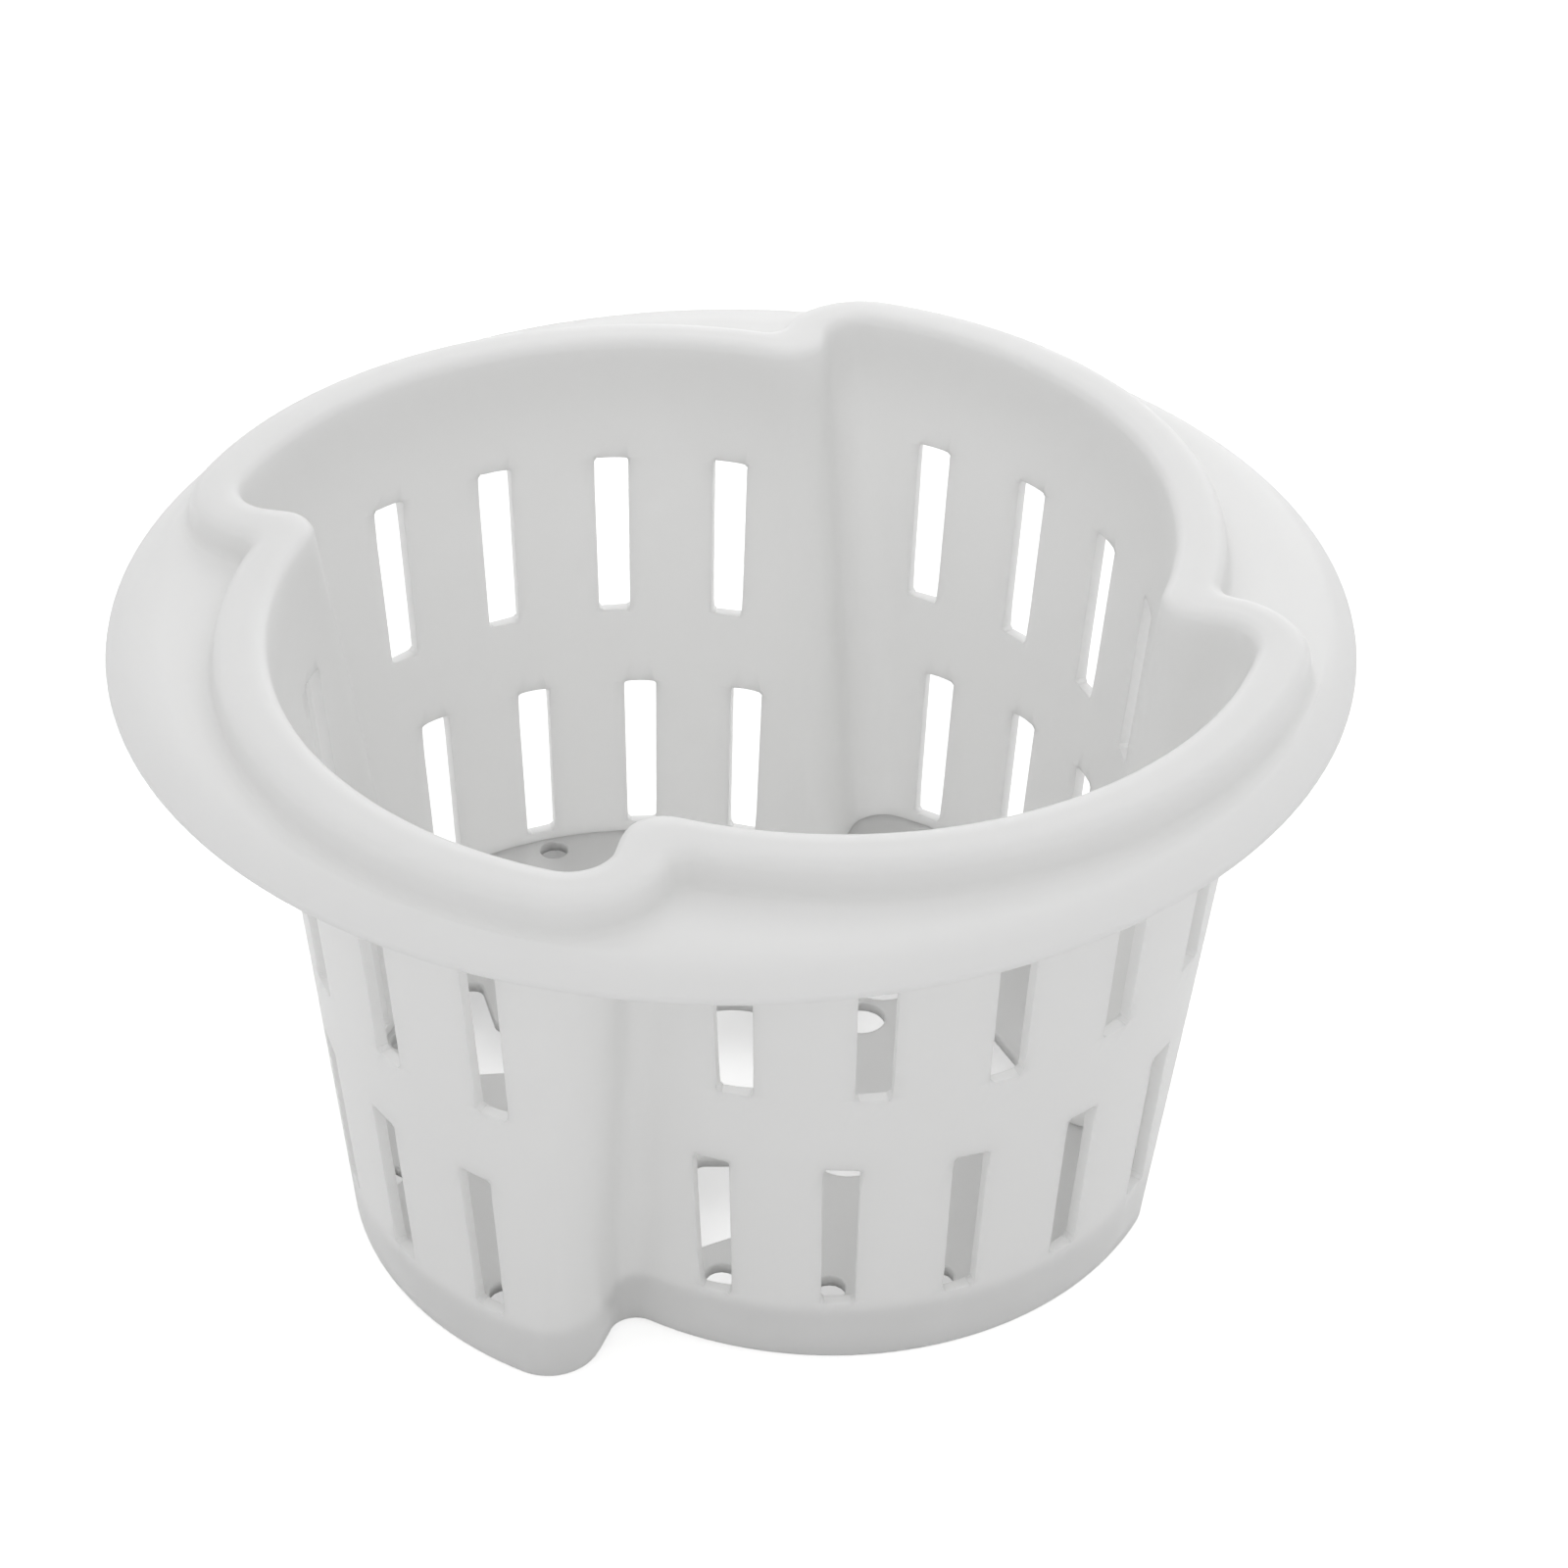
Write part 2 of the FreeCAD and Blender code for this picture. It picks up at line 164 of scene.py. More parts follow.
class WallSizes(bpy.types.PropertyGroup):
    """Sizes of the spiral lobes and of the wall."""

    height: length("Height", "From the foot to the crest of the collar", HIGH[2] / MM)
    thickness: length("Wall", "Thickness of the wall", 1.4)
    radius_foot: length("Lobe radius, foot", "Radius of a lobe's main arc at the foot", 38.3)
    radius_mouth: length("Lobe radius, mouth", "Radius of a lobe's main arc at the mouth", 46.2)
    shift_foot: length("Lobe shift, foot", "Arc centre to pot axis at the foot", 11.8)
    shift_mouth: length("Lobe shift, mouth", "Arc centre to pot axis at the mouth", 10.7)
    turn_foot: angle("Lobe turn, foot", "Direction in which a lobe starts at the foot", 74.8)
    turn_mouth: angle("Lobe turn, mouth", "Direction in which a lobe starts at the mouth", 82.7)
    lead: angle("Lobe lead", "From a lobe's start to the direction of its arc centre", 85)
    fold_lag: angle("Fold lag", "From the fold's face to the next lobe's start", 5)
    tip_round: length("Tip round", "Inner radius of the corner at a lobe's tip", 4.5)
    root_round: length("Root round", "Inner radius of the corner at a lobe's root", 4.2)
    foot_round: length("Foot round", "Radius of the foot's outer edge", 0.7)
    mouth_round: length("Mouth round", "Radius of the mouth's edge", 0.9)


class RimSizes(bpy.types.PropertyGroup):
    """Sizes of the flange and of the raised collar."""

    radius: length("Flange radius", "Radius of the flange", 67)
    drop: length("Flange drop", "From the crest down to the flange", 3.7)
    plate: length("Plate", "Thickness of the flange and of the collar's skin", 1.4)
    band_width: length("Band width", "Width of the sloping edge band", 3.3)
    band_fall: length("Band fall", "Drop of the sloping edge band", 2.3)
    edge: length("Edge thickness", "Thickness of the flange's edge", 0.8)
    edge_round: length("Edge round", "Radius of the flange's edge", 0.3)
    collar_foot: length("Collar foot", "Width of the collar at the flange", 6.6)
    collar_crest: length("Collar crest", "Width of the collar at its crest", 5.4)
    collar_root: length("Collar root", "Radius of the collar's inward corner", 2.5)
    crest_round: length("Crest round", "Radius of the collar's outer edge", 1.2)
    foot_cove: length("Foot cove", "Radius where the collar meets the flange", 0.7)


class SlotSizes(bpy.types.PropertyGroup):
    """Sizes of the two rows of slots."""

    lower_bottom: length("Lower row, bottom", "Bottom of the lower slots", 8.8)
    lower_top: length("Lower row, top", "Top of the lower slots", 29.4)
    lower_width: length("Lower row, width", "Width of the lower slots", 3.8)
    lower_first: angle("Lower row, first", "From a lobe's start to its first slot", -4.8)
    lower_pitch: angle("Lower row, pitch", "Angle between neighbouring slots", 18.77)
    upper_bottom: length("Upper row, bottom", "Bottom of the upper slots", 39.5)
    upper_top: length("Upper row, top", "Top of the upper slots", 60.2)
    upper_width: length("Upper row, width", "Width of the upper slots", 4.0)
    upper_first: angle("Upper row, first", "From a lobe's start to its first slot", -3.6)
    upper_pitch: angle("Upper row, pitch", "Angle between neighbouring slots", 18.62)
    taper: length("Taper", "How much wider a slot is at its top", 0.35)
    corner: length("Corner", "Radius of a slot's corners", 0.5)
    edge: length("Edge", "Softness of the moulded edges", 0.14)


class FloorSizes(bpy.types.PropertyGroup):
    """Sizes of the raised floor and of its holes."""

    top: length("Floor top", "Height of the floor's upper face", 7.5)
    thickness: length("Floor thickness", "Thickness of the floor", 1.5)
    centre_radius: length("Centre hole", "Radius of the centre hole", 8.5)
    inner_radius: length("Inner hole", "Radius of the inner holes", 2.9)
    inner_reach: length("Inner reach", "From the axis to the inner holes", 16.4)
    inner_turn: angle("Inner turn", "Direction of the first inner hole", 19.7)
    middle_radius: length("Middle hole", "Radius of the middle holes", 4.4)
    middle_reach: length("Middle reach", "From the axis to the middle holes", 22.5)
    middle_turn: angle("Middle turn", "Direction of the first middle hole", 36)
    window_inner: length("Window, inner", "From the axis to a window's inner end", 19.5)
    window_outer: length("Window, outer", "From the axis to a window's outer side", 34.6)
    window_half: length("Window, half width", "Half of a window's width", 4.2)
    window_tail: length("Window, tail", "Reach of a window's tail", 12)
    tail_width: length("Tail width", "Width of a window's tail", 4.4)
    window_corner: length("Window, corner", "Radius of a window's corners", 1.2)
    drain_radius: length("Drain hole", "Radius of the drain holes by the wall", 1.8)
    drain_inset: length("Drain inset", "From the wall to the drain holes", 2.4)


class Finish(bpy.types.PropertyGroup):
    """Colour and surface of the frosted plastic."""

    colour: tint("Colour", "Body colour of the natural plastic", (0.92, 0.92, 0.91))
    roughness: amount("Roughness", "Roughness of the moulded surface", 0.42)
    see_through: amount("See-through", "Share of light that passes straight through", 0.08)


class Stage(bpy.types.PropertyGroup):
    """Camera, lamps and floor."""

    camera_back: length("Camera back", "Camera's distance in front of the axis", 322.1)
    camera_up: length("Camera up", "Camera's height above the foot", 277.96)
    pitch: angle("Pitch", "How far the camera looks down", 35.115)
    yaw: angle("Yaw", "How far the camera turns aside", -0.58)
    roll: angle("Roll", "How far the camera leans", 0.098)
    lens: amount("Lens", "Focal length in millimetres", 81.45, 10, 300)
    shift_x: amount("Shift across", "Sideways shift of the frame", 0.01025, -1, 1)
    shift_y: amount("Shift up", "Upward shift of the frame", -0.0266, -1, 1)
    floor_colour: tint("Floor", "Colour of the floor", (0.9, 0.9, 0.9))
    key_power: amount("Key light", "Power of the large overhead lamp in watts", 0.3, 0, 100)
    back_power: amount("Back light", "Power of the lamp behind the pot in watts", 1.6, 0, 100)
    sky: amount("Surround", "Strength of the even light from all round", 0.74, 0, 5)


def sizes(kind):
    """The scene's property group for the wall, the rim, the slots or the floor."""
    return getattr(bpy.context.scene, f"net_pot_{kind}")


def polar(radius, turn):
    """Point of the plane at a radius and a direction."""
    return Vector((radius * math.cos(turn), radius * math.sin(turn)))


def mix(first, second, share):
    """Value or vector a share of the way from the first to the second."""
    return first + (second - first) * share


class Lobe:
    """Outline of one lobe at a level, a skin outside the inner face of the wall."""

    def __init__(self, level, skin, folded=True):
        wall = sizes("wall")
        self.level = level
        self.turn, shift = self.at(level)
        self.radius = mix(wall.radius_foot, wall.radius_mouth, level / wall.height) + skin
        self.centre = polar(shift, self.turn + wall.lead)
        following = polar(shift, self.turn + wall.lead + QUARTER)
        out = polar(1, self.turn + QUARTER - wall.fold_lag)
        across = Vector((-out.y, out.x))
        tip = wall.tip_round + skin
        side = -wall.tip_round - self.centre.dot(across)
        along = self.centre.dot(out) + math.sqrt((self.radius - tip) ** 2 - side**2)
        self.tip_centre = out * along - across * wall.tip_round
        self.tip = tip
        self.folded = folded
        if folded:
            self.root = wall.root_round - skin
            side = wall.root_round - following.dot(across)
            reach = math.sqrt((self.radius + self.root) ** 2 - side**2)
            along = following.dot(out) + reach
            self.root_centre = out * along + across * wall.root_round
            self.tip_end = self.tip_centre + across * tip
            self.root_start = self.root_centre - across * self.root
        else:
            self.root = sizes("rim").collar_root
            span = following - self.tip_centre
            near = tip + self.root
            far = self.radius + self.root
            foot = (span.length**2 + near**2 - far**2) / (2 * span.length)
            unit = span.normalized()
            normal = Vector((unit.y, -unit.x))
            aside = math.sqrt(near**2 - foot**2)
            self.root_centre = self.tip_centre + unit * foot + normal * aside
            self.tip_end = mix(self.tip_centre, self.root_centre, tip / near)
            self.root_start = self.tip_end
        root_end = following + (self.root_centre - following).normalized() * self.radius
        self.root_end = root_end
        turned_back = Matrix.Rotation(-QUARTER, 2) @ root_end
        self.first = self.direction(turned_back - self.centre, self.turn)
        self.last = self.direction(self.tip_centre - self.centre, self.turn + QUARTER)

    @staticmethod
    def direction(vector, near):
        """Direction of a vector, taken on the turn nearest to a given one."""
        raw = math.atan2(vector.y, vector.x)
        return raw + 2 * math.pi * round((near - raw) / (2 * math.pi))

    def slot_edge(self, row, index, side):
        """Direction, from the arc's centre, of one edge of a slot at this level."""
        wall = sizes("wall")
        slots = sizes("slots")
        bottom = getattr(slots, f"{row}_bottom")
        top = getattr(slots, f"{row}_top")
        turn, shift = self.at((bottom + top) / 2)
        pitch = getattr(slots, f"{row}_pitch")
        heading = turn + getattr(slots, f"{row}_first") + index * pitch
        rise = (self.level - bottom) / (top - bottom)
        half = (getattr(slots, f"{row}_width") + slots.taper * (rise - 0.5)) / 2
        sideways = polar(1, heading + math.pi / 2)
        offset = (polar(shift, turn + wall.lead) - self.centre).dot(sideways) + side * half
        return heading + math.asin(offset / self.radius)

    @staticmethod
    def at(level):
        """Turn of the lobe and its arc centre's distance from the axis at a level."""
        wall = sizes("wall")
        share = level / wall.height
        turn = mix(wall.turn_foot, wall.turn_mouth, share)
        return turn, mix(wall.shift_foot, wall.shift_mouth, share)

    def marks(self):
        """Directions of all slot edges at this level, from the root to the tip."""
        slots = sizes("slots")
        gap = slots.upper_bottom - slots.lower_top
        share = min(1, max(0, (self.level - slots.lower_top) / gap))
        found = []
        for index in range(SLOTS_PER_LOBE):
            for side in (-1, 1):
                low = self.slot_edge("lower", index, side) if share < 1 else 0
                high = self.slot_edge("upper", index, side) if share > 0 else 0
                found.append(low * (1 - share) + high * share)
        return found

    def stops(self):
        """Directions at which the main arc's columns change, from its start to its end.

        An outline without a fold's face has a shorter main arc, so it takes the
        wall's stops, drawn together to fit.
        """
        base = self if self.folded else Lobe(self.level, sizes("wall").thickness)
        share = (self.last - self.first) / (base.last - base.first)
        plain = [base.first, *base.marks(), base.last]
        return [self.first + (stop - base.first) * share for stop in plain]

    def points(self):
        """Points of the lobe, from the start of its main arc to the end of its root arc."""
        stops = self.stops()
        turns = []
        for index, count in enumerate(MAIN_STEPS):
            for step in range(count):
                turns.append(mix(stops[index], stops[index + 1], step / count))
        found = [self.centre + polar(self.radius, turn) for turn in turns]
        tip_first = self.last
        tip_last = self.direction(self.tip_end - self.tip_centre, tip_first + QUARTER)
        for step in range(TIP_STEPS):
            turn = mix(tip_first, tip_last, step / TIP_STEPS)
            found.append(self.tip_centre + polar(self.tip, turn))
        root_steps = ROOT_STEPS
        if self.folded:
            for step in range(FACE_STEPS):
                found.append(mix(self.tip_end, self.root_start, step / FACE_STEPS))
        else:
            root_steps += FACE_STEPS
        root_first = self.direction(self.root_start - self.root_centre, tip_last + math.pi)
        root_last = self.direction(self.root_end - self.root_centre, root_first - QUARTER)
        for step in range(root_steps + 1):
            turn = mix(root_first, root_last, step / root_steps)
            found.append(self.root_centre + polar(self.root, turn))
        return found


def lifted(points, level):
    """Points of the plane lifted to a level."""
    return [Vector((spot.x, spot.y, level)) for spot in points]


def lobed_ring(level, skin, folded=True):
    """One ring of the moulding that follows the lobes."""
    return lifted(Lobe(level, skin, folded).points(), level)


def round_ring(guide, radius, level):
    """Circular ring whose points face those of a lobed ring."""
    return [Vector((*polar(radius, math.atan2(spot.y, spot.x)), level)) for spot in guide]


def blended_ring(first, second, share):
    """Ring between two others."""
    return [mix(one, other, share) for one, other in zip(first, second)]


def quarter_bend(shares):
    """Sine and cosine at each share of a rounded edge's quarter turn."""
    bends = [share * math.pi / 2 for share in shares]
    return [(math.sin(bend), math.cos(bend)) for bend in bends]


def wall_levels(wall, slots):
    """Levels of the wall's rings and the row of slots above each, if any."""
    neck_end = wall.height - 2 * wall.thickness
    spans = [
        (0, slots.lower_bottom, PLAIN_STEPS, None),
        (slots.lower_bottom, slots.lower_top, SLOT_STEPS, "lower"),
        (slots.lower_top, slots.upper_bottom, PLAIN_STEPS, None),
        (slots.upper_bottom, slots.upper_top, SLOT_STEPS, "upper"),
        (slots.upper_top, neck_end, NECK_STEPS, None),
    ]
    levels = []
    for low, high, count, row in spans:
        for step in range(count):
            levels.append((mix(low, high, step / count), row))
    return levels


def mouth_rings(wall):
    """Rings of the mouth's rounded inner edge, on the way up."""
    rings = []
    for sine, cosine in quarter_bend(MOUTH_SHARES):
        skin = wall.mouth_round * (1 - cosine)
        rings.append(lobed_ring(wall.height - wall.mouth_round * (1 - sine), skin))
    return rings


def collar_rings(wall, rim):
    """Rings of the collar's rounded crest and of its outer face, down to the flange."""
    plate_top = wall.height - rim.drop
    plate_bottom = plate_top - rim.plate

    def collar_skin(level):
        """Distance of the collar's outer face, which leans out towards the flange."""
        share = (level - plate_bottom) / (wall.height - plate_bottom)
        return mix(rim.collar_foot, rim.collar_crest, share)

    rings = []
    for sine, cosine in quarter_bend(CREST_SHARES):
        level = wall.height - rim.crest_round * (1 - cosine)
        skin = collar_skin(level) - rim.crest_round * (1 - sine)
        rings.append(lobed_ring(level, skin, folded=False))
    for sine, cosine in quarter_bend(COVE_SHARES):
        level = plate_top + rim.foot_cove * (1 - sine)
        skin = collar_skin(level) + rim.foot_cove * (1 - cosine)
        rings.append(lobed_ring(level, skin, folded=False))
    return rings


def flange_rings(wall, rim, foot):
    """Rings from the collar's foot out over the flange, round its edge and under it."""
    plate_top = wall.height - rim.drop
    plate_bottom = plate_top - rim.plate
    band = rim.radius - rim.band_width
    edge_top = plate_top - rim.band_fall
    edge_bottom = edge_top - rim.edge
    soft = rim.edge_round
    band_ring = round_ring(foot, band, plate_top)
    rings = [blended_ring(foot, band_ring, share) for share in FLANGE_SHARES]
    rings.append(round_ring(foot, mix(band, rim.radius, 0.5), mix(plate_top, edge_top, 0.5)))
    for face, steps in ((edge_top, EDGE_TOP_RINGS), (edge_bottom, EDGE_BOTTOM_RINGS)):
        for inward, up in steps:
            rings.append(round_ring(foot, rim.radius - soft * inward, face + soft * up))
    rings.append(round_ring(foot, band, plate_bottom))
    return rings


def hollow_rings(wall, rim, under):
    """Rings from under the flange through the collar's hollow to the wall."""
    plate_bottom = wall.height - rim.drop - rim.plate
    ceiling = wall.height - rim.plate
    hollow = lobed_ring(plate_bottom, rim.collar_foot - rim.plate, folded=False)
    return [
        blended_ring(under, hollow, 0.5),
        hollow,
        lobed_ring(ceiling, rim.collar_crest - rim.plate, folded=False),
        lobed_ring(ceiling, wall.thickness),
    ]


def foot_rings(wall):
    """Rings of the foot's rounded outer edge, on the way down."""
    rings = []
    for sine, cosine in quarter_bend(FOOT_SHARES):
        skin = wall.thickness - wall.foot_round * (1 - sine)
        rings.append(lobed_ring(wall.foot_round * (1 - cosine), skin))
    return rings


def section_rings():
    """Rings of one quarter of the moulding, round its section, and the slots' rows.

    The section runs up the inner face, over the collar, out along the flange,
    back under it through the collar's hollow and down the outer face. Two maps, for
    the inner and the outer face, lead from a ring to the row of slots between it and
    the next ring.
    """
    wall = sizes("wall")
    rim = sizes("rim")
    levels = wall_levels(wall, sizes("slots"))
    inner_rows = {index: row for index, (_, row) in enumerate(levels) if row}
    rings = [lobed_ring(level, 0) for level, _ in levels] + mouth_rings(wall)
    mouth = rings[-1]
    collar = collar_rings(wall, rim)
    rings += [blended_ring(mouth, collar[0], share) for share in COLLAR_TOP_SHARES]
    rings += collar
    rings += flange_rings(wall, rim, collar[-1])
    rings += hollow_rings(wall, rim, rings[-1])
    # On the way down a row is reached from the ring above it
    above = len(rings) - 1
    falling = levels[::-1]
    outer_rows = {above + index: row for index, (_, row) in enumerate(falling) if row}
    rings += [lobed_ring(level, wall.thickness) for level, _ in falling[:-1]]
    rings += foot_rings(wall)
    return rings, inner_rows, outer_rows


def slot_columns():
    """First and last column of each slot."""
    columns = []
    position = 0
    for index, count in enumerate(MAIN_STEPS):
        if index % 2 == 1:
            columns.append((position, position + count))
        position += count
    return columns


def add_skin(shape, grid, open_rings, open_columns):
    """Faces between neighbouring rings, left out where a slot is open."""
    for index, ring in enumerate(grid):
        following = grid[(index + 1) % len(grid)]
        for column in range(len(ring) - 1):
            if index in open_rings and column in open_columns:
                continue
            corners = (ring[column], ring[column + 1], following[column + 1], following[column])
            shape.faces.new(corners)


def add_slot_sides(shape, grid, pairs, first, last):
    """Faces through the wall round one slot; gives the ends of its corners' edges."""
    loop = [(pair, first) for pair in pairs]
    loop += [(pairs[-1], column) for column in range(first + 1, last + 1)]
    loop += [(pair, last) for pair in reversed(pairs[:-1])]
    loop += [(pairs[0], column) for column in range(last - 1, first, -1)]
    for (pair, column), (next_pair, next_column) in zip(loop, loop[1:] + loop[:1]):
        side = shape.faces.new(
            (
                grid[pair[0]][column],
                grid[next_pair[0]][next_column],
                grid[next_pair[1]][next_column],
                grid[pair[1]][column],
            )
        )
        side.material_index = SLOT_SIDE
    corners = [(pair, column) for pair in (pairs[0], pairs[-1]) for column in (first, last)]
    return {frozenset((grid[pair[0]][column], grid[pair[1]][column])) for pair, column in corners}


def quarter_mesh():
    """Mesh of a quarter of the moulding, with its slots opened and their corners rounded."""
    rings, inner_rows, outer_rows = section_rings()
    shape = bmesh.new()
    grid = [[shape.verts.new(spot) for spot in ring] for ring in rings]
    slots_at = slot_columns()
    opened = {column for first, last in slots_at for column in range(first, last)}
    add_skin(shape, grid, {*inner_rows, *outer_rows}, opened)
    corners = set()
    for row in ("lower", "upper"):
        inner = [ring for ring, name in inner_rows.items() if name == row]
        outer = [ring for ring, name in outer_rows.items() if name == row]
        # The outer rings run down where the inner ones run up
        pairs = list(zip(inner + [inner[-1] + 1], reversed([*outer, outer[-1] + 1])))
        for first, last in slots_at:
            corners |= add_slot_sides(shape, grid, pairs, first, last)
    bmesh.ops.bevel(
        shape,
        geom=[edge for edge in shape.edges if frozenset(edge.verts) in corners],
        offset=sizes("slots").corner,
        segments=CORNER_SEGMENTS,
        affect="EDGES",
        profile=0.5,
    )
    bmesh.ops.recalc_face_normals(shape, faces=shape.faces)
    # The sides of the slots meet the wall in edges that the bevel softens
    weight = shape.edges.layers.float.new("bevel_weight_edge")
    for edge in shape.edges:
        sides = {face.material_index for face in edge.link_faces}
        edge[weight] = 1.0 if len(sides) == 2 else 0.0
    for face in shape.faces:
        face.smooth = True
        face.material_index = 0
    mesh = bpy.data.meshes.new("quarter")
    shape.to_mesh(mesh)
    shape.free()
    return mesh


def repeat_tree():
    """Geometry Nodes tree that turns a quarter of the moulding round the axis."""
    tree = bpy.data.node_groups.new("PinwheelRepeat", "GeometryNodeTree")
    interface = tree.interface
    interface.new_socket("Geometry", in_out="INPUT", socket_type="NodeSocketGeometry")
    interface.new_socket("Lobes", in_out="INPUT", socket_type="NodeSocketInt")
    interface.new_socket("Seam", in_out="INPUT", socket_type="NodeSocketFloat")
    interface.new_socket("Material", in_out="INPUT", socket_type="NodeSocketMaterial")
    interface.new_socket("Geometry", in_out="OUTPUT", socket_type="NodeSocketGeometry")
    nodes = tree.nodes
    link = tree.links.new
    source = nodes.new("NodeGroupInput")
    result = nodes.new("NodeGroupOutput")
    spots = nodes.new("GeometryNodePoints")
    index = nodes.new("GeometryNodeInputIndex")
    share = nodes.new("ShaderNodeMath")
    share.operation = "DIVIDE"
    turn = nodes.new("ShaderNodeMath")
    turn.operation = "MULTIPLY"
    turn.inputs[1].default_value = 2 * math.pi
    spin = nodes.new("ShaderNodeCombineXYZ")
    copies = nodes.new("GeometryNodeInstanceOnPoints")
    solid = nodes.new("GeometryNodeRealizeInstances")
    weld = nodes.new("GeometryNodeMergeByDistance")
    paint = nodes.new("GeometryNodeSetMaterial")
    link(source.outputs["Lobes"], spots.inputs["Count"])
    link(index.outputs[0], share.inputs[0])
    link(source.outputs["Lobes"], share.inputs[1])
    link(share.outputs[0], turn.inputs[0])
    link(turn.outputs[0], spin.inputs["Z"])
    link(spots.outputs[0], copies.inputs["Points"])
    link(source.outputs["Geometry"], copies.inputs["Instance"])
    link(spin.outputs[0], copies.inputs["Rotation"])
    link(copies.outputs[0], solid.inputs[0])
    link(solid.outputs[0], weld.inputs["Geometry"])
    link(source.outputs["Seam"], weld.inputs["Distance"])
    link(weld.outputs[0], paint.inputs["Geometry"])
    link(source.outputs["Material"], paint.inputs["Material"])
    link(paint.outputs[0], result.inputs[0])
    return tree


def set_inputs(modifier, values):
    """Give a Geometry Nodes modifier its inputs by the sockets' names."""
    for item in modifier.node_group.interface.items_tree:
        if item.in_out == "INPUT" and item.name in values:
            modifier[item.identifier] = values[item.name]


def plain_mesh(piece, name):
    """Replace an object by the plain mesh of its evaluated shape."""
    graph = bpy.context.evaluated_depsgraph_get()
    mesh = bpy.data.meshes.new_from_object(piece.evaluated_get(graph), depsgraph=graph)
    mesh.name = name
    result = bpy.data.objects.new(name, mesh)
    bpy.context.scene.collection.objects.link(result)
    bpy.data.objects.remove(piece)
    return result


def rounded_corners(corners, radius, steps):
    """Closed outline whose corners are rounded."""
    found = []
    for index, spot in enumerate(corners):
        back = (corners[index - 1] - spot).normalized()
        ahead = (corners[(index + 1) % len(corners)] - spot).normalized()
        half = back.angle(ahead) / 2
        centre = spot + (back + ahead).normalized() * radius / math.sin(half)
        start = spot + back * radius / math.tan(half)
        finish = spot + ahead * radius / math.tan(half)
        for step in range(steps + 1):
            ray = mix(start, finish, step / steps) - centre
            found.append(centre + ray.normalized() * radius)
    return found


def ring_of(centre, radius, count):
    """Points of a round hole."""
    return [centre + polar(radius, 2 * math.pi * step / count) for step in range(count)]


def floor_holes():
    """Outlines of the centre hole and of the four quarters of the floor's pattern."""
    floor = sizes("floor")
    slots = sizes("slots")
    inner = polar(floor.inner_reach, floor.inner_turn)
    middle = polar(floor.middle_reach, floor.middle_turn)
    quarter = [
        ring_of(inner, floor.inner_radius, HOLE_POINTS),
        ring_of(middle, floor.middle_radius, HOLE_POINTS),
    ]
    base = Lobe(floor.top, 0)
    heading = base.turn + slots.lower_first
    for index in range(SLOTS_PER_LOBE):
        reach = polar(base.radius - floor.drain_inset, heading + index * slots.lower_pitch)
        quarter.append(ring_of(base.centre + reach, floor.drain_radius, DRAIN_POINTS))
    half = floor.window_half
    far = floor.window_outer
    tail = floor.tail_width
    corners = [
        Vector((floor.window_inner, -half)),
        Vector((far - WINDOW_NECK * tail, -half)),
        Vector((far - tail, -floor.window_tail)),
        Vector((far - WINDOW_HEEL * tail, -floor.window_tail)),
        Vector((far, -half)),
        Vector((far - tail, half * WINDOW_SLANT)),
        Vector((floor.window_inner, half)),
    ]
    quarter.append(rounded_corners(corners, floor.window_corner, WINDOW_CORNER_STEPS))
    outlines = [ring_of(Vector((0, 0)), floor.centre_radius, CENTRE_POINTS)]
    for lobe in range(LOBES):
        turned = Matrix.Rotation(lobe * QUARTER, 2)
        outlines += [[turned @ spot for spot in outline] for outline in quarter]
    return outlines


def floor_plate(name):
    """Pierced floor plate as a mesh, seated in the wall all round."""
    floor = sizes("floor")
    middle = floor.top - floor.thickness / 2
    points = Lobe(middle, sizes("wall").thickness / 2).points()
    edge = []
    for lobe in range(LOBES):
        turned = Matrix.Rotation(lobe * QUARTER, 2)
        edge += [turned @ spot for spot in points[:-1]]
    soft = sizes("slots").edge
    curve = bpy.data.curves.new(name, "CURVE")
    curve.dimensions = "2D"
    curve.fill_mode = "BOTH"
    curve.extrude = floor.thickness / 2 - soft
    curve.bevel_depth = soft
    curve.bevel_resolution = 1
    curve.offset = -soft
    for outline in [edge, *floor_holes()]:
        spline = curve.splines.new("POLY")
        spline.points.add(len(outline) - 1)
        for point, spot in zip(spline.points, outline):
            point.co = (spot.x, spot.y, 0, 1)
        spline.use_cyclic_u = True
    piece = bpy.data.objects.new(name, curve)
    bpy.context.scene.collection.objects.link(piece)
    plate = plain_mesh(piece, name)
    plate.data.transform(Matrix.Translation((0, 0, middle)))
    return plate


def add_noise(nodes, scale, detail):
    """Noise texture of a given fineness."""
    noise = nodes.new("ShaderNodeTexNoise")
    noise.inputs["Scale"].default_value = scale
    noise.inputs["Detail"].default_value = detail
    return noise


